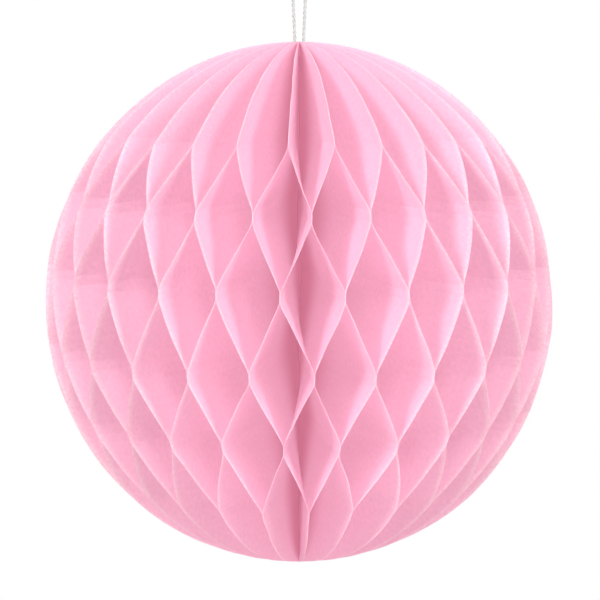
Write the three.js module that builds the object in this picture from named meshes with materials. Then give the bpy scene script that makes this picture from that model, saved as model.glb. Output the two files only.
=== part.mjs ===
// Honeycomb paper ball. Half-disc leaves of tissue paper are bound along their straight edges and glued to
// each other in stripes, first to the neighbour on one side, then to the one on the other. Fanned out round the
// bound edge they open into a ball of diamond cells, which hangs from a loop of cord.
// Millimetres, +Z up. The origin is the hanging point, under the cord at the top of its loop.
import * as THREE from "three";

// Ball
const BALL_WIDTH = 200; // across the leaf rims
const BALL_HEIGHT = 205; // pole to pole: the ball hangs a little drawn out
const CELL_COUNT = 26; // cells in one row round the ball, with two leaves to a cell
const FRONT_PAIR_ANGLE = -4; // degrees round from the front to the nearest pair of the top stripe

// Tissue leaves
const LEAF_THICKNESS = 0.1;
const GLUE_GAP = 0.1; // film of glue between two leaves
const GLUE_STRIPE = 3.8; // height of one glue stripe
const STRIPE_HEIGHTS = [69, 42.5, 14.2, -16.5, -43.5, -73]; // above the middle of the ball, top stripe first
const POLE_EDGE = 0.7; // width of a leaf's end at the poles

// Bound spine, and the well at its top where the cord is tied
const SEAT_GAP = 0.3;
const WELL_DEPTH = 6;
const KNOT_WIDTH = 4.4;
const KNOT_HEIGHT = 3.4;
const KNOT_ROUNDING = 1.1;

// Hanging cord
const CORD_DIAMETER = 1.3;
const LOOP_TOP = 73.5; // above the top pole, to the middle of the cord
const LOOP_SIDE = [
  // one side of the loop: distance from the ball's axis, height above the top pole
  [1.7, 0],
  [2, 8],
  [2.4, 16.5],
  [2.9, 26],
  [3.4, 36],
  [3.9, 46],
  [4.4, 55],
  [4.75, 61],
  [4.8, 65],
  [4.4, 68.6],
  [3.3, 71.4],
  [1.7, 73],
];

// Swing of a leaf half-way between two stripes
const MID_WALL = 0.5;

// Facets
const WELL_STEPS = 2;
const SHOULDER_STEPS = 3;
const FOOT_STEPS = 4;
const SPINE_SIDES = 12;
const KNOT_SIDES = 16;
const KNOT_ARC_STEPS = 3;
const CORD_SIDES = 8;
const CORD_STEPS = 50;

// Sizes that follow from those above
const cellAngle = (2 * Math.PI) / CELL_COUNT;
const pole = BALL_HEIGHT / 2;
const leafPitch = LEAF_THICKNESS + GLUE_GAP;
const spineEdge = (CELL_COUNT * 2 * leafPitch) / (2 * Math.PI); // where the leaves stand side by side
const strandReach = LOOP_SIDE[0][0] + CORD_DIAMETER / 2;
const wellRadius = Math.max(KNOT_WIDTH / 2, strandReach) + SEAT_GAP;
const wellFloor = pole - WELL_DEPTH;
const topEnd = rimHeight(wellRadius + POLE_EDGE);
const bottomEnd = -rimHeight(spineEdge + POLE_EDGE);
const hangingPoint = pole + LOOP_TOP - CORD_DIAMETER / 2;

const tissue = new THREE.MeshStandardMaterial({ color: "#ffb0cf", roughness: 0.9, metalness: 0 });
const glue = new THREE.MeshStandardMaterial({ color: "#f2a2c2", roughness: 0.6, metalness: 0 });
const cotton = new THREE.MeshStandardMaterial({ color: "#f4f3ef", roughness: 0.9, metalness: 0 });

// Radius of the leaf rims at a height, and the height where they have a radius
function rimRadius(height) {
  return (BALL_WIDTH / 2) * Math.sqrt(1 - (height / pole) ** 2);
}

function rimHeight(radius) {
  return pole * Math.sqrt(1 - (radius / (BALL_WIDTH / 2)) ** 2);
}

// Heights along the rim from one height to another, in equal steps of latitude, without the last
function rimArc(from, to, steps) {
  const start = Math.asin(from / pole);
  const turn = (Math.asin(to / pole) - start) / steps;
  return Array.from({ length: steps }, (_, k) => pole * Math.sin(start + k * turn));
}

// Stations down one leaf. swing is 0 where the leaf lies on its partner in the top stripe and 1 where it lies on
// its neighbour on the other side; edge is the radius of its bound edge.
function leafStations() {
  const stations = [];
  const add = (height, swing, edge) => stations.push({ height, swing, edge });
  const half = GLUE_STRIPE / 2;
  const firstStripe = STRIPE_HEIGHTS[0] + half;
  const lastStripe = STRIPE_HEIGHTS.at(-1) - half;
  const lastSwing = (STRIPE_HEIGHTS.length - 1) % 2;

  rimArc(topEnd, wellFloor, WELL_STEPS).forEach((height) => add(height, 0, wellRadius));
  add(wellFloor, 0, wellRadius);
  rimArc(wellFloor, firstStripe, SHOULDER_STEPS)
    .slice(1)
    .forEach((height) => add(height, 0, spineEdge));
  STRIPE_HEIGHTS.forEach((height, k) => {
    if (k > 0) add((STRIPE_HEIGHTS[k - 1] + height) / 2, MID_WALL, spineEdge);
    add(height + half, k % 2, spineEdge);
    add(height - half, k % 2, spineEdge);
  });
  rimArc(lastStripe, bottomEnd, FOOT_STEPS)
    .slice(1)
    .forEach((height) => add(height, lastSwing, spineEdge));
  add(bottomEnd, lastSwing, spineEdge);
  return stations;
}

// A leaf is a half disc swung to and fro between its stripes. Each wall between two stripes is a flat triangle that
// spreads from the middle of its bound edge to the rim. side is -1 for the left leaf of a pair and 1 for the right
// one, its mirror image. The bound edge runs up the Z axis, and the pair's own plane is XZ.
function leafGeometry(side) {
  const stations = leafStations();
  const points = [];
  for (const { height, swing, edge } of stations) {
    const angle = (side * swing * cellAngle) / 2;
    const middle = side * (0.5 - swing) * leafPitch;
    for (const radius of [edge, rimRadius(height)]) {
      for (const across of [middle - LEAF_THICKNESS / 2, middle + LEAF_THICKNESS / 2]) {
        points.push(
          radius * Math.cos(angle) - across * Math.sin(angle),
          radius * Math.sin(angle) + across * Math.cos(angle),
          height,
        );
      }
    }
  }

  // each station has four corners: the two faces at the bound edge, then the two faces at the rim
  const triangles = [];
  const quad = (a, b, c, d) => triangles.push(a, b, c, a, c, d);
  const last = 4 * (stations.length - 1);
  for (let upper = 0; upper < last; upper += 4) {
    const lower = upper + 4;
    const wall = [upper, lower, lower + 2, upper + 2];
    if (stations[lower / 4].swing === MID_WALL) wall.push(wall.shift());
    const [a, b, c, d] = wall;
    quad(a, b, c, d);
    quad(a + 1, d + 1, c + 1, b + 1);
    quad(upper + 2, lower + 2, lower + 3, upper + 3);
    quad(upper + 1, lower + 1, lower, upper);
  }
  quad(0, 2, 3, 1);
  quad(last, last + 1, last + 3, last + 2);

  const geometry = new THREE.BufferGeometry();
  geometry.setAttribute("position", new THREE.Float32BufferAttribute(points, 3));
  geometry.setIndex(triangles);
  geometry.computeVertexNormals();
  return geometry;
}

function leaves() {
  const group = new THREE.Group();
  const left = leafGeometry(-1);
  const right = leafGeometry(1);
  const front = THREE.MathUtils.degToRad(FRONT_PAIR_ANGLE - 90);
  for (let k = 0; k < 2 * CELL_COUNT; k++) {
    const leaf = new THREE.Mesh(k % 2 ? right : left, tissue);
    leaf.name = `leaf_${String(k + 1).padStart(2, "0")}`;
    leaf.rotation.z = front + Math.floor(k / 2) * cellAngle;
    group.add(leaf);
  }
  return group;
}

// Core of glue that binds the straight edges of all the leaves
function boundSpine() {
  const radius = spineEdge - SEAT_GAP;
  const top = wellFloor - SEAT_GAP;
  const geometry = new THREE.CylinderGeometry(radius, radius, top - bottomEnd, SPINE_SIDES);
  const spine = new THREE.Mesh(geometry.rotateX(Math.PI / 2), glue);
  spine.name = "bound_spine";
  spine.position.z = (top + bottomEnd) / 2;
  return spine;
}

// Knot of the cord's two ends, in the well on top of the spine
function cordKnot() {
  const flat = KNOT_WIDTH / 2 - KNOT_ROUNDING;
  const profile = new THREE.Path();
  profile.moveTo(0, 0);
  profile.lineTo(flat, 0);
  profile.absarc(flat, KNOT_ROUNDING, KNOT_ROUNDING, -Math.PI / 2, 0);
  profile.absarc(flat, KNOT_HEIGHT - KNOT_ROUNDING, KNOT_ROUNDING, 0, Math.PI / 2);
  profile.lineTo(0, KNOT_HEIGHT);
  const geometry = new THREE.LatheGeometry(profile.getPoints(KNOT_ARC_STEPS), KNOT_SIDES);
  const knot = new THREE.Mesh(geometry.rotateX(Math.PI / 2), cotton);
  knot.name = "cord_knot";
  knot.position.z = wellFloor;
  return knot;
}

// Loop of cord, from the knot up over the hanging point and back down to the knot
function hangingCord() {
  const knotTop = wellFloor + KNOT_HEIGHT + SEAT_GAP;
  const side = LOOP_SIDE.map(([x, height]) => new THREE.Vector3(x, 0, pole + height));
  side.unshift(new THREE.Vector3(LOOP_SIDE[0][0], 0, knotTop));
  const otherSide = side.map((point) => new THREE.Vector3(-point.x, 0, point.z)).reverse();
  const route = new THREE.CatmullRomCurve3([...side, new THREE.Vector3(0, 0, pole + LOOP_TOP), ...otherSide]);
  const section = new THREE.Shape(
    Array.from({ length: CORD_SIDES }, (_, k) => {
      const turn = (2 * Math.PI * k) / CORD_SIDES;
      return new THREE.Vector2(Math.cos(turn), Math.sin(turn)).multiplyScalar(CORD_DIAMETER / 2);
    }),
  );
  const geometry = new THREE.ExtrudeGeometry(section, { steps: CORD_STEPS, extrudePath: route });
  const cord = new THREE.Mesh(geometry, cotton);
  cord.name = "hanging_cord";
  return cord;
}

const ball = new THREE.Group();
ball.add(leaves(), boundSpine(), cordKnot(), hangingCord());
ball.position.z = -hangingPoint;

const part = new THREE.Group();
part.add(ball);

export default part;
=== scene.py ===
import math
import random

import bpy
import numpy as np
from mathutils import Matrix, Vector


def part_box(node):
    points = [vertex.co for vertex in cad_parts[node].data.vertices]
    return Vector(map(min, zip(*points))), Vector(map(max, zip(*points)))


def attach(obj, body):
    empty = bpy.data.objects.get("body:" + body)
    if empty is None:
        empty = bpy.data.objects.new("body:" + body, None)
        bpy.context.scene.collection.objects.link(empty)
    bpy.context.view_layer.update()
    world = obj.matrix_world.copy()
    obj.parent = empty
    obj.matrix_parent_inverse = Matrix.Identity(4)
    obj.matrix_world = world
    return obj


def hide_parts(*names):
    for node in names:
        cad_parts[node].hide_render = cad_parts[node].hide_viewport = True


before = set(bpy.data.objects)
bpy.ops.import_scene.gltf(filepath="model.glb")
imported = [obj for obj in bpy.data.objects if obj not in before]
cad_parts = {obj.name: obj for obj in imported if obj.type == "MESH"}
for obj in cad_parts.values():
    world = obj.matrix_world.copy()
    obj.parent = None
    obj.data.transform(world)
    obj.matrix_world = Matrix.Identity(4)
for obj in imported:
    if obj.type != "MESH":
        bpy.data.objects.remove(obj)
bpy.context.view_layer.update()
bpy.ops.object.select_all(action="DESELECT")

# Tissue leaves
# Half discs cut from a stack of pink tissue paper, each glued to its neighbours in six stripes, by turns to
# the left one and to the right one. Opened out round the spine, they stand apart between the stripes as
# diamond cells. All sizes are in metres unless they say otherwise.
LEAF_NAMES = sorted(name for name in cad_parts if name.startswith("leaf_"))
LEAF_COUNT = len(LEAF_NAMES)
CELL_ANGLE = 4 * math.pi / LEAF_COUNT
FRONT_PAIR = math.radians(-4 - 90)  # where the first pair of the top stripe stands, just left of the front
PAPER = 0.0001  # thickness of one leaf
GLUE_FILM = 0.00006
STRIPE = 0.0038  # height of one glue stripe
STRIPE_HEIGHTS = (0.069, 0.0425, 0.0142, -0.0165, -0.0435, -0.073)  # above the middle of the ball
SPINE_EDGE = 0.00166  # radius at which the bound edges stand side by side
WELL_RADIUS = 0.00265  # room at the top for the knot
WELL_DEPTH = 0.006
FUNNEL_DEPTH = 0.0126  # below this the edges are back at the spine
LIP_DEPTH = 0.0027  # tips that close the well over the knot
LIP_EDGE = 0.0009
CORD_SIDE = math.cos(math.radians(36))  # leaves this near to the loop's plane make room for the cord
POLE_EDGE = 0.0007  # width of a leaf's end at the poles
TIP_CUT = 0.00004  # how far the leaf ends stop short of the poles
ROWS_PER_STRIPE = 4
ROWS_PER_WALL = 14
ROWS_PER_END = 26
COLUMNS = 16
SOFT_FOLD = 0.04  # share of a wall's height that bends at each of its stripes
CHANCE = 26  # start of the random draws
NODE_SPREAD = math.radians(0.25)  # chance turn and lift of a glued pair in each stripe
NODE_DRIFT = 0.0004
FRONT_TURN = math.radians(1)  # extra turn of the front pair in the top stripe
WAVE_HEIGHT = 0.00012
WAVE_LENGTHS = (0.014, 0.021, 0.034)
RIM_SLIP = 0.00012  # unevenness of the cut rim
MEANDER = 0.0009  # wander of the ball's middle line
MEANDER_LENGTHS = (0.057, 0.041)
MEANDER_REACH = 0.03
FOOT_DRAW = 0.00237  # how far the leaf ends are drawn down at the bottom pole
FOOT_SPREAD = 0.0215
CREASE = math.radians(9)  # folds sharper than this look crisp
UV_UNIT = 0.1  # one unit of a leaf's UV map
UV_STEP = 3  # units from one leaf's map to the next, so that no two leaves have the same clouds

boxes = np.array([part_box(name) for name in LEAF_NAMES])
ball_low, ball_high = boxes[:, 0].min(axis=0), boxes[:, 1].max(axis=0)
ball_radius = (ball_high[0] - ball_low[0]) / 2
pole = (ball_high[2] - ball_low[2]) / 2 + TIP_CUT
centre = Vector((0, 0, (ball_high[2] + ball_low[2]) / 2))


def rim_radius(height):
    """Radius of the leaf rims at a height above the middle of the ball."""
    return ball_radius * np.sqrt(1 - (height / pole) ** 2)


def rim_height(radius):
    """Height above the middle of the ball at which the leaf rims have a radius."""
    return pole * math.sqrt(1 - (radius / ball_radius) ** 2)


def leaf_rows():
    """Heights down a leaf and its swing at each, from 0 on its partner in the top stripe to 1 on the next."""
    half = STRIPE / 2
    top = math.asin(rim_height(WELL_RADIUS + POLE_EDGE) / pole)
    first = math.asin((STRIPE_HEIGHTS[0] + half) / pole)
    last = math.asin((STRIPE_HEIGHTS[-1] - half) / pole)
    bottom = -math.asin(rim_height(SPINE_EDGE + POLE_EDGE) / pole)
    heights = list(pole * np.sin(np.linspace(top, first, ROWS_PER_END + 1)))
    swings = [0.0] * len(heights)
    for k, height in enumerate(STRIPE_HEIGHTS):
        if k > 0:
            t = np.linspace(0, 1, ROWS_PER_WALL + 1)[1:]
            start, end = STRIPE_HEIGHTS[k - 1] - half, height + half
            near = np.minimum(t, 1 - t)
            bent = np.where(near < SOFT_FOLD, near**2 / (2 * SOFT_FOLD), near - SOFT_FOLD / 2)
            bent = bent / (1 - SOFT_FOLD)
            swung = np.where(t < 0.5, bent, 1 - bent)
            heights += list(start + (end - start) * t)
            swings += list(swung if k % 2 else 1 - swung)
        t = np.linspace(0, 1, ROWS_PER_STRIPE + 1)[1:]
        heights += list(height + half - STRIPE * t)
        swings += [float(k % 2)] * ROWS_PER_STRIPE
    heights += list(pole * np.sin(np.linspace(last, bottom, ROWS_PER_END + 1)[1:]))
    swings += [float((len(STRIPE_HEIGHTS) - 1) % 2)] * ROWS_PER_END
    return np.array(heights), np.array(swings)


row_heights, row_swings = leaf_rows()
ROWS = len(row_heights) - 1
draws = random.Random(CHANCE)
pairs = range(LEAF_COUNT // 2)
node_turn = np.array([[draws.gauss(0, NODE_SPREAD) for _ in STRIPE_HEIGHTS] for _ in pairs])
node_lift = np.array([[draws.gauss(0, NODE_DRIFT) for _ in STRIPE_HEIGHTS] for _ in pairs])
node_turn[0][0] += FRONT_TURN
WAVE_COUNT = len(WAVE_LENGTHS)
wave_turn = np.array([[draws.uniform(0, 2 * math.pi) for _ in range(2 * WAVE_COUNT)] for _ in LEAF_NAMES])


def sheet_wave(plane, radius, height):
    """How far the paper of one glued pair waves to the side, more towards its rim."""
    phases = wave_turn[plane % LEAF_COUNT]
    wave = 0
    for i, length in enumerate(WAVE_LENGTHS):
        slant = math.cos(phases[i]) * radius + math.sin(phases[i]) * height
        wave = wave + np.sin(2 * math.pi * slant / length + phases[i + WAVE_COUNT])
    return WAVE_HEIGHT * wave * radius / ball_radius


def meander(radius, height):
    """How far the ball's middle line wanders to the side, less away from the axis and none at the poles."""
    wave = sum(np.sin(2 * math.pi * height / length) for length in MEANDER_LENGTHS)
    fading = (1 - (height / pole) ** 2) * np.exp(-((radius / MEANDER_REACH) ** 2))
    return MEANDER * wave / len(MEANDER_LENGTHS) * fading


def bound_edge(beside_cord):
    """Radius of a leaf's bound edge in each row. At the top it stands back for the knot and for the cord."""
    heights = [pole - FUNNEL_DEPTH, pole - WELL_DEPTH]
    radii = [SPINE_EDGE, WELL_RADIUS]
    if not beside_cord:
        heights += [pole - LIP_DEPTH - PAPER, pole - LIP_DEPTH]
        radii += [WELL_RADIUS, LIP_EDGE]
    return np.interp(row_heights, heights, radii)


def flat_leaf(beside_cord):
    """One leaf as it is cut: a half disc in the XZ plane with its straight edge along the spine."""
    edge_radius = bound_edge(beside_cord)
    bpy.ops.mesh.primitive_grid_add(x_subdivisions=COLUMNS, y_subdivisions=ROWS, size=1)
    leaf = bpy.context.object
    grid = np.empty(len(leaf.data.vertices) * 3)
    leaf.data.vertices.foreach_get("co", grid)
    grid = grid.reshape(-1, 3)
    row = np.rint((0.5 - grid[:, 1]) * ROWS).astype(int)
    share = grid[:, 0] + 0.5
    height = row_heights[row]
    radius = edge_radius[row] + (rim_radius(height) - edge_radius[row]) * share
    leaf.data.vertices.foreach_set("co", np.column_stack((radius, 0 * radius, height)).ravel())
    uv = leaf.data.uv_layers.active
    uv.name = "sheet"
    corner = np.empty(len(leaf.data.loops), int)
    leaf.data.loops.foreach_get("vertex_index", corner)
    uv.data.foreach_set("uv", np.column_stack((radius, height))[corner].ravel() / UV_UNIT)
    depth = leaf.data.attributes.new("depth", "FLOAT", "POINT")
    depth.data.foreach_set("value", 1 - radius / rim_radius(height))
    return leaf, row, radius


def fold_leaf(flat, row, radius, k):
    """Copies the flat leaf, swings it between its stripes and gives it the paper's thickness."""
    leaf = flat.copy()
    leaf.data = flat.data.copy()
    leaf.name = leaf.data.name = f"tissue_{LEAF_NAMES[k]}"
    bpy.context.collection.objects.link(leaf)
    pair, side = k // 2, 1 if k % 2 else -1
    other = pair if side > 0 else pair - 1
    own_turns = [node_turn[other if i % 2 else pair][i] for i in range(len(STRIPE_HEIGHTS))]
    own_lifts = [node_lift[other if i % 2 else pair][i] for i in range(len(STRIPE_HEIGHTS))]
    stops = STRIPE_HEIGHTS[::-1]
    turn = np.interp(row_heights, stops, own_turns[::-1])
    lift = np.interp(row_heights, (-pole, *stops, pole), (0, *own_lifts[::-1], 0))
    foot = np.clip(1 - rim_radius(row_heights) / FOOT_SPREAD, 0, 1) ** 2
    drawn = np.where(row_heights < 0, FOOT_DRAW * foot, 0)
    angle = FRONT_PAIR + pair * CELL_ANGLE + side * row_swings * CELL_ANGLE / 2 + turn
    layer = side * (0.5 - row_swings) * (PAPER + GLUE_FILM)
    swing, height = row_swings[row], row_heights[row]
    own_wave = sheet_wave(2 * pair, radius, height)
    other_wave = sheet_wave(2 * other + 1, radius, height)
    a, across = angle[row], layer[row] + (1 - swing) * own_wave + swing * other_wave
    slip = RIM_SLIP * np.sin(2 * math.pi * height / WAVE_LENGTHS[2] + wave_turn[k][0])
    radius = radius * (1 + slip / ball_radius)
    x = radius * np.cos(a) - across * np.sin(a) + meander(radius, height)
    y = radius * np.sin(a) + across * np.cos(a)
    z = centre.z + row_heights[row] + (lift - drawn)[row]
    leaf.data.vertices.foreach_set("co", np.column_stack((x, y, z)).ravel())
    uv = leaf.data.uv_layers["sheet"]
    place = np.empty(len(leaf.data.loops) * 2)
    uv.data.foreach_get("uv", place)
    uv.data.foreach_set("uv", (place.reshape(-1, 2) + (0, UV_STEP * k)).ravel())
    bpy.context.view_layer.objects.active = leaf
    sheet = leaf.modifiers.new("paper", "SOLIDIFY")
    sheet.thickness = PAPER
    sheet.offset = 0
    bpy.ops.object.modifier_apply(modifier=sheet.name)
    return leaf


def linear(colour):
    """The linear colour of an sRGB hex value."""
    parts = [int(colour[i:i + 2], 16) / 255 for i in (1, 3, 5)]
    return (*[p / 12.92 if p <= 0.04045 else ((p + 0.055) / 1.055) ** 2.4 for p in parts], 1)


def add_node(tree, kind, inputs=(), **settings):
    """Adds a node with its settings. inputs pairs each socket with its value or the output linked to it."""
    node = tree.nodes.new(kind)
    for name, value in settings.items():
        setattr(node, name, value)
    for socket, value in inputs:
        if isinstance(value, bpy.types.NodeSocket):
            tree.links.new(value, node.inputs[socket])
        else:
            node.inputs[socket].default_value = value
    return node


def new_material(name):
    """An empty material and its node tree."""
    material = bpy.data.materials.new(name)
    material.use_nodes = True
    material.node_tree.nodes.clear()
    return material, material.node_tree


# Dyed tissue is thin, uncoated paper made of loose pulp. It is matt and faintly cloudy, lets light through,
# and is fuzzy along the cut rims. Its colour has a painted highlight, paler along the rims, and painted
# shade, deeper towards the spine. Its fibres, about 0.02 mm wide, are too fine to show, so they are drawn
# coarser, as clumps.
PULP_CLOUD = 1.8  # mm
FIBRE_CLUMP = 1.2  # mm
MM_PER_UNIT = 1000 * UV_UNIT
RIM_HIGHLIGHT_DEPTH = 0.035  # depths run from 0 at the rim to 1 on the axis
FUZZY_DEPTH = 0.2
# Depths over which the painted shade towards the spine sets in.
PAINTED_SHADE_FROM, PAINTED_SHADE_TO = 0.46, 0.86
LIGHT_THROUGH = 0.45  # share of the light that a leaf lets through


def tissue_paper():
    material, tree = new_material("pink_tissue_paper")
    sheet = add_node(tree, "ShaderNodeUVMap", uv_map="sheet").outputs[0]
    cloud = add_node(
        tree, "ShaderNodeTexNoise",
        (("Vector", sheet), ("Scale", MM_PER_UNIT / PULP_CLOUD), ("Detail", 3)),
    )
    tone = add_node(tree, "ShaderNodeValToRGB", (("Fac", cloud.outputs[0]),))
    tone.color_ramp.elements[0].position = 0.3
    tone.color_ramp.elements[0].color = linear("#f4c5d8")
    tone.color_ramp.elements[1].position = 0.7
    tone.color_ramp.elements[1].color = linear("#fbcddf")
    depth = add_node(tree, "ShaderNodeAttribute", attribute_name="depth").outputs["Fac"]
    # Painted shade: the leaf colour turns deeper and darker towards the spine, where light is lost between
    # leaves packed close together.
    inner = add_node(
        tree, "ShaderNodeMapRange",
        (("Value", depth), ("From Min", PAINTED_SHADE_FROM), ("From Max", PAINTED_SHADE_TO)),
        interpolation_type="SMOOTHSTEP",
    )
    painted_spine_shade = add_node(
        tree, "ShaderNodeMix",
        ((0, inner.outputs[0]), (6, tone.outputs[0]), (7, linear("#e9a9c0"))), data_type="RGBA",
    )
    fibre = add_node(
        tree, "ShaderNodeTexNoise",
        (("Vector", sheet), ("Scale", MM_PER_UNIT / FIBRE_CLUMP), ("Detail", 4)),
    )
    # Painted highlight: a paler colour in a thin band along the cut rims, broken up by the fibre clumps.
    rim = add_node(
        tree, "ShaderNodeMapRange",
        (("Value", depth), ("From Min", RIM_HIGHLIGHT_DEPTH), ("From Max", 0)),
        interpolation_type="SMOOTHSTEP",
    )
    tuft = add_node(
        tree, "ShaderNodeMapRange",
        (("Value", fibre.outputs[0]), ("From Min", 0.38), ("From Max", 0.6), ("To Min", 0.3)),
    )
    painted_rim_highlight = add_node(
        tree, "ShaderNodeMath",
        ((0, rim.outputs[0]), (1, tuft.outputs[0])), operation="MULTIPLY",
    )
    colour = add_node(
        tree, "ShaderNodeMix",
        ((0, painted_rim_highlight.outputs[0]), (6, painted_spine_shade.outputs[2]), (7, linear("#fbdfe6"))), data_type="RGBA",
    ).outputs[2]
    fuzz = add_node(
        tree, "ShaderNodeMapRange",
        (("Value", depth), ("From Max", FUZZY_DEPTH), ("To Min", 0.8), ("To Max", 0.25)),
    )
    bump = add_node(
        tree, "ShaderNodeBump",
        (("Height", fibre.outputs[0]), ("Strength", fuzz.outputs[0]), ("Distance", 0.0004)),
    ).outputs[0]
    face = add_node(
        tree, "ShaderNodeBsdfPrincipled",
        (("Base Color", colour), ("Roughness", 0.85), ("Specular IOR Level", 0.25), ("Normal", bump)),
    )
    through = add_node(tree, "ShaderNodeBsdfTranslucent", (("Color", colour), ("Normal", bump)))
    mix = add_node(
        tree, "ShaderNodeMixShader",
        ((0, LIGHT_THROUGH), (1, face.outputs[0]), (2, through.outputs[0])),
    )
    add_node(tree, "ShaderNodeOutputMaterial", ((0, mix.outputs[0]),))
    return material


paper = tissue_paper()
flat_leaves = [flat_leaf(beside_cord) for beside_cord in (False, True)]
for k, name in enumerate(LEAF_NAMES):
    beside_cord = abs(math.cos(FRONT_PAIR + k // 2 * CELL_ANGLE)) > CORD_SIDE
    leaf = fold_leaf(*flat_leaves[beside_cord], k)
    leaf.data.materials.clear()
    leaf.data.materials.append(paper)
    bpy.ops.object.select_all(action="DESELECT")
    leaf.select_set(True)
    bpy.ops.object.shade_smooth_by_angle(angle=CREASE)
    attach(leaf, "root")
    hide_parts(name)
for flat, _, _ in flat_leaves:
    bpy.data.objects.remove(flat)

# Bound spine
# The straight edges of all the leaves, gathered and stuck together by a core of glue down the middle of the
# ball. It wanders a little with the leaves, and only its ends can be seen, deep between the leaf tips.
SPINE_ROUNDING = 0.0003
SPINE_SIDES = 32
SPINE_RINGS = 40
GLUE_RISE = 0.0005  # the glue fills the CAD's gap under the knot

# Dyed paper edges soaked with clear glue, a little shiny, with fine streaks that run along the spine. They
# are drawn darker than the leaves, partly for the glue and partly as painted shade, as they lie deep between
# the leaf tips.
EDGE_WIDTH = 0.25  # mm
DRIP_LENGTH = 6  # mm


def glued_edges():
    material, tree = new_material("glue_soaked_edges_and_painted_shade")
    place = add_node(tree, "ShaderNodeTexCoord").outputs["Object"]
    scale = (1000 / EDGE_WIDTH, 1000 / EDGE_WIDTH, 1000 / DRIP_LENGTH)
    drawn = add_node(tree, "ShaderNodeMapping", (("Vector", place), ("Scale", scale)))
    streak = add_node(
        tree, "ShaderNodeTexNoise",
        (("Vector", drawn.outputs[0]), ("Scale", 1), ("Detail", 3)),
    )
    # Painted shade: the edges are drawn darker than the leaves, partly for the glue and partly for the shade
    # deep between the leaf tips.
    tone = add_node(tree, "ShaderNodeValToRGB", (("Fac", streak.outputs[0]),))
    tone.color_ramp.elements[0].color = linear("#b96a86")
    tone.color_ramp.elements[1].color = linear("#d98aa6")
    bump = add_node(
        tree, "ShaderNodeBump",
        (("Height", streak.outputs[0]), ("Strength", 0.4), ("Distance", 0.0002)),
    )
    face = add_node(
        tree, "ShaderNodeBsdfPrincipled",
        (("Base Color", tone.outputs[0]), ("Roughness", 0.45), ("Normal", bump.outputs[0])),
    )
    add_node(tree, "ShaderNodeOutputMaterial", ((0, face.outputs[0]),))
    return material


spine_low, spine_high = (Vector(corner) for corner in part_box("bound_spine"))
spine_low.z -= FOOT_DRAW * (1 - SPINE_EDGE / FOOT_SPREAD) ** 2
spine_high.z += GLUE_RISE
bpy.ops.mesh.primitive_cylinder_add(
    vertices=SPINE_SIDES,
    radius=(spine_high.x - spine_low.x) / 2,
    depth=spine_high.z - spine_low.z,
    location=(spine_low + spine_high) / 2,
)
spine = bpy.context.object
spine.name = spine.data.name = "glued_spine"
bpy.ops.object.transform_apply()
rounding = spine.modifiers.new("blunt_ends", "BEVEL")
rounding.width = SPINE_ROUNDING
rounding.segments = 3
rounding.limit_method = "ANGLE"
bpy.ops.object.modifier_apply(modifier=rounding.name)
bpy.ops.object.mode_set(mode="EDIT")
for k in range(1, SPINE_RINGS):
    height = spine_low.z + (spine_high.z - spine_low.z) * k / SPINE_RINGS
    bpy.ops.mesh.select_all(action="SELECT")
    bpy.ops.mesh.bisect(plane_co=(0, 0, height), plane_no=(0, 0, 1))
bpy.ops.object.mode_set(mode="OBJECT")
for vertex in spine.data.vertices:
    vertex.co.x += meander(SPINE_EDGE, np.clip(vertex.co.z - centre.z, -pole, pole))
bpy.ops.object.shade_smooth()
spine.data.materials.append(glued_edges())
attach(spine, "root")
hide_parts("bound_spine")

# Hanging cord
# A loop of white cotton cord, two plies twisted together. Both ends go down through the well between the
# leaf tips and are tied in a knot that is glued to the spine below.
CORD = 0.0013  # thickness
LOOP_TOP = 0.0735  # above the top pole
LOOP_SIDE = (  # distance from the ball's axis, height above the top pole
    (0.0017, -0.0023),
    (0.0017, 0),
    (0.002, 0.008),
    (0.0024, 0.0165),
    (0.0029, 0.026),
    (0.0034, 0.036),
    (0.0039, 0.046),
    (0.0044, 0.055),
    (0.00475, 0.061),
    (0.0048, 0.065),
    (0.0044, 0.0686),
    (0.0033, 0.0714),
    (0.0017, 0.073),
)
ball_top = centre.z + pole
route = [Vector((x, 0, ball_top + z)) for x, z in LOOP_SIDE]
route.append(Vector((0, 0, ball_top + LOOP_TOP)))
route += [Vector((-x, 0, ball_top + z)) for x, z in LOOP_SIDE[::-1]]


def smooth_route(points, steps):
    """Points along a smooth curve through the given ones."""
    ends = [points[0] * 2 - points[1], *points, points[-1] * 2 - points[-2]]
    line = []
    for a, b, c, d in zip(ends, ends[1:], ends[2:], ends[3:]):
        for i in range(steps):
            t = i / steps
            bend = (2 * a - 5 * b + 4 * c - d) * t**2 + (3 * b - a - 3 * c + d) * t**3
            line.append(0.5 * (2 * b + (c - a) * t + bend))
    return [*line, points[-1]]


PLY = CORD * 0.56  # the plies press into each other
PLY_SHIFT = (CORD - PLY) / 2
LAY = 0.0042  # length of one full twist
PLY_STEP = LAY / 12


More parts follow.
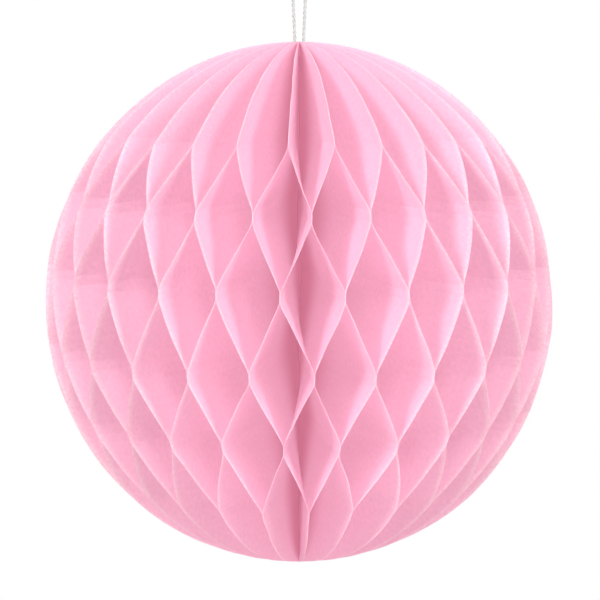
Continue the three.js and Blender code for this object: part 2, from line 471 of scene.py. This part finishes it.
def cord_ply(line, start):
    """One ply as a tube that winds round the cord's middle line."""
    lengths = np.cumsum([0] + [(b - a).length for a, b in zip(line, line[1:])])
    stops = np.linspace(0, lengths[-1], round(lengths[-1] / PLY_STEP))
    middle = np.column_stack([np.interp(stops, lengths, [p[i] for p in line]) for i in range(3)])
    along = np.gradient(middle, axis=0)
    along /= np.linalg.norm(along, axis=1)[:, None]
    side = [np.array((0.0, 1.0, 0.0))]
    for ahead in along:
        square = side[-1] - ahead * side[-1].dot(ahead)
        side.append(square / np.linalg.norm(square))
    side = np.array(side[1:])
    other = np.cross(along, side)
    turn = (start + 2 * math.pi * stops / LAY)[:, None]
    place = middle + PLY_SHIFT * (np.cos(turn) * side + np.sin(turn) * other)
    data = bpy.data.curves.new("ply", "CURVE")
    data.dimensions = "3D"
    data.bevel_depth = PLY / 2
    data.bevel_resolution = 2
    data.use_fill_caps = True
    spline = data.splines.new("POLY")
    spline.points.add(len(place) - 1)
    spline.points.foreach_set("co", np.column_stack((place, np.ones(len(place)))).ravel())
    ply = bpy.data.objects.new("ply", data)
    bpy.context.collection.objects.link(ply)
    return ply, lengths[-1]


# Spun cotton is matt and slightly uneven. Its fibres, about 0.02 mm wide, are too fine to show, so they are
# drawn coarser, as tufts. At the knot it is dark pink: painted shade for the well under the pink leaf tips.
COTTON_TUFT = 0.6  # mm


def cotton_cord(name, dark, light):
    material, tree = new_material(name)
    place = add_node(tree, "ShaderNodeTexCoord").outputs["Object"]
    fibre = add_node(
        tree, "ShaderNodeTexNoise",
        (("Vector", place), ("Scale", 1000 / COTTON_TUFT), ("Detail", 2)),
    )
    tone = add_node(tree, "ShaderNodeValToRGB", (("Fac", fibre.outputs[0]),))
    tone.color_ramp.elements[0].color = linear(dark)
    tone.color_ramp.elements[1].color = linear(light)
    bump = add_node(
        tree, "ShaderNodeBump",
        (("Height", fibre.outputs[0]), ("Strength", 0.3), ("Distance", 0.0001)),
    )
    face = add_node(
        tree, "ShaderNodeBsdfPrincipled",
        (("Base Color", tone.outputs[0]), ("Roughness", 0.9), ("Normal", bump.outputs[0])),
    )
    add_node(tree, "ShaderNodeOutputMaterial", ((0, face.outputs[0]),))
    return material


def twisted_cord(name, line, cotton):
    """Two plies twisted along a line, joined into one piece."""
    bpy.ops.object.select_all(action="DESELECT")
    for start in (0, math.pi):
        ply, length = cord_ply(line, start)
        ply.select_set(True)
        bpy.context.view_layer.objects.active = ply
    bpy.ops.object.convert(target="MESH")
    bpy.ops.object.join()
    piece = bpy.context.object
    piece.name = piece.data.name = name
    piece.data.materials.clear()
    piece.data.materials.append(cotton)
    bpy.ops.object.shade_smooth()
    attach(piece, "root")
    return piece, length


KNOT_STEPS = 120
knot_low, knot_high = (Vector(corner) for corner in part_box("cord_knot"))
knot_middle = (knot_low + knot_high) / 2
knot_reach = (knot_high.x - knot_low.x - CORD) / 2
knot_rise = (knot_high.z - knot_low.z - CORD) / 2
knot_line = []
for t in np.linspace(0, 2 * math.pi, KNOT_STEPS + 1):
    x = (math.sin(t) + 2 * math.sin(2 * t)) / 3
    y = (math.cos(t) - 2 * math.cos(2 * t)) / 3
    z = -math.sin(3 * t)
    knot_line.append(knot_middle + Vector((x * knot_reach, y * knot_reach, z * knot_rise)))
# Painted shade: the knot sits deep in the well under the leaf tips, so its cotton is drawn dark pink.
shaded_knot_cotton = cotton_cord("knot_cotton_painted_shade", "#c98aa2", "#e3abc0")
knot, _ = twisted_cord("tied_knot", knot_line, shaded_knot_cotton)
bpy.ops.mesh.primitive_uv_sphere_add(segments=16, ring_count=10, radius=knot_reach, location=knot_middle)
inner_turns = bpy.context.object
inner_turns.scale.z = (knot_high.z - knot_low.z) / 2 / knot_reach
inner_turns.data.materials.append(shaded_knot_cotton)
knot.select_set(True)
bpy.context.view_layer.objects.active = knot
bpy.ops.object.join()
bpy.ops.object.shade_smooth()
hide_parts("cord_knot")
ROUTE_STEPS = 8
cord_line = smooth_route(route, ROUTE_STEPS)
white_cotton = cotton_cord("white_cotton_cord", "#979896", "#c8c9c7")
cord, cord_length = twisted_cord("twisted_cord", cord_line, white_cotton)
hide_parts("hanging_cord")

# Room and light
# A white floor and a white room, with five soft lights in front, all above the ball, and two behind. Weak
# lights without shadows stand for the light that comes through leaf after leaf or back from the room.
FLOOR_SIZE = 30
FLOOR_DROP = 2.4  # below the middle of the ball
ROOM_GLOW = 0.05  # the room as the ball is lit by it; seen directly it is plain white


def seen_directly(tree):
    """1 for what the camera sees, also in gloss or through clear things, 0 for light that meets the ball."""
    path = add_node(tree, "ShaderNodeLightPath").outputs
    plain = add_node(
        tree, "ShaderNodeMath",
        ((0, path["Is Camera Ray"]), (1, path["Is Glossy Ray"])), operation="MAXIMUM",
    )
    clear = add_node(
        tree, "ShaderNodeMath",
        ((0, path["Is Transmission Ray"]), (1, path["Is Diffuse Ray"])),
        operation="SUBTRACT", use_clamp=True,
    )
    seen = add_node(
        tree, "ShaderNodeMath",
        ((0, plain.outputs[0]), (1, clear.outputs[0])), operation="MAXIMUM",
    )
    return seen.outputs[0]


bpy.ops.mesh.primitive_plane_add(size=FLOOR_SIZE, location=(0, 0, centre.z - FLOOR_DROP))
floor = bpy.context.object
floor.name = "floor"

# Matt painted board, light grey for the light that it gives back and plain white where it is seen.
white, tree = new_material("white_floor")
dull = add_node(tree, "ShaderNodeBsdfDiffuse", (("Color", linear("#c8c8c8")),))
glow = add_node(tree, "ShaderNodeEmission", (("Strength", 1),))
seen = seen_directly(tree)
mix = add_node(tree, "ShaderNodeMixShader", ((0, seen), (1, dull.outputs[0]), (2, glow.outputs[0])))
add_node(tree, "ShaderNodeOutputMaterial", ((0, mix.outputs[0]),))
floor.data.materials.append(white)

world = bpy.data.worlds.new("white_room")
bpy.context.scene.world = world
world.use_nodes = True
tree = world.node_tree
tree.nodes.clear()
seen = seen_directly(tree)
strength = add_node(tree, "ShaderNodeMapRange", (("Value", seen), ("To Min", ROOM_GLOW), ("To Max", 1)))
back = add_node(tree, "ShaderNodeBackground", (("Color", (1, 1, 1, 1)), ("Strength", strength.outputs[0])))
add_node(tree, "ShaderNodeOutputWorld", ((0, back.outputs[0]),))

# Light that has met more than a few leaves is left to the lights without shadows.
light_paths = bpy.context.scene.cycles
light_paths.max_bounces = 3
light_paths.diffuse_bounces = 2
light_paths.transmission_bounces = 2
SOFTNESS = math.radians(16)


def distant_light(name, azimuth, elevation, level, shadow):
    """A light azimuth degrees to the right of the front. At level 1 it lights white paper to white."""
    a, e = math.radians(azimuth), math.radians(elevation)
    away = Vector((math.sin(a) * math.cos(e), -math.cos(a) * math.cos(e), math.sin(e)))
    data = bpy.data.lights.new(name, "SUN")
    data.angle = SOFTNESS if shadow else 0
    data.energy = math.pi * level
    data.use_shadow = shadow
    lamp = bpy.data.objects.new(name, data)
    bpy.context.collection.objects.link(lamp)
    lamp.location = centre + away
    lamp.rotation_euler = away.to_track_quat("Z", "Y").to_euler()


distant_light("left_key", -38, 25, 0.434, True)
distant_light("high_left_key", -44, 37, 0.264, True)
distant_light("right_key", 47, 13, 0.19, True)
distant_light("high_right_key", 52, 31, 0.39, True)
distant_light("front_key", 5, 42, 0.33, True)
distant_light("back_right_key", 150, 25, 0.3, True)
distant_light("back_left_key", -145, 20, 0.3, True)
distant_light("fill_front", 0, 5, 0.18, False)
distant_light("fill_right", 75, 5, 0.14, False)
distant_light("fill_left", -75, 5, 0.1, False)
distant_light("fill_front_right", 45, 20, 0.12, False)
distant_light("fill_front_left", -45, 20, 0.11, False)
distant_light("fill_below", 0, -60, 0.04, False)
distant_light("fill_low_left", -60, -35, 0.12, False)
distant_light("fill_low_right", 60, -35, 0.08, False)

# Camera
# A long lens a little above the middle of the ball, as in the photograph, where the ball nearly fills the
# frame and only the lowest part of the cord is seen.
SENSOR = 36  # mm
FRAME_PIXELS = 600
FOCAL_PIXELS = 2869
BALL_PIXEL = (299.2, 301.8)  # where the middle of the ball falls in the frame
CAMERA_DISTANCE = 1.135
CAMERA_ELEVATION = math.radians(7.38)
camera_data = bpy.data.cameras.new("camera")
camera_data.sensor_width = SENSOR
camera_data.lens = SENSOR * FOCAL_PIXELS / FRAME_PIXELS
camera_data.shift_x = 0.5 - BALL_PIXEL[0] / FRAME_PIXELS
camera_data.shift_y = BALL_PIXEL[1] / FRAME_PIXELS - 0.5
camera = bpy.data.objects.new("camera", camera_data)
bpy.context.collection.objects.link(camera)
away = Vector((0, -math.cos(CAMERA_ELEVATION), math.sin(CAMERA_ELEVATION)))
camera.location = centre + away * CAMERA_DISTANCE
camera.rotation_euler = away.to_track_quat("Z", "Y").to_euler()
bpy.context.scene.camera = camera
bpy.context.scene.view_settings.view_transform = "Standard"
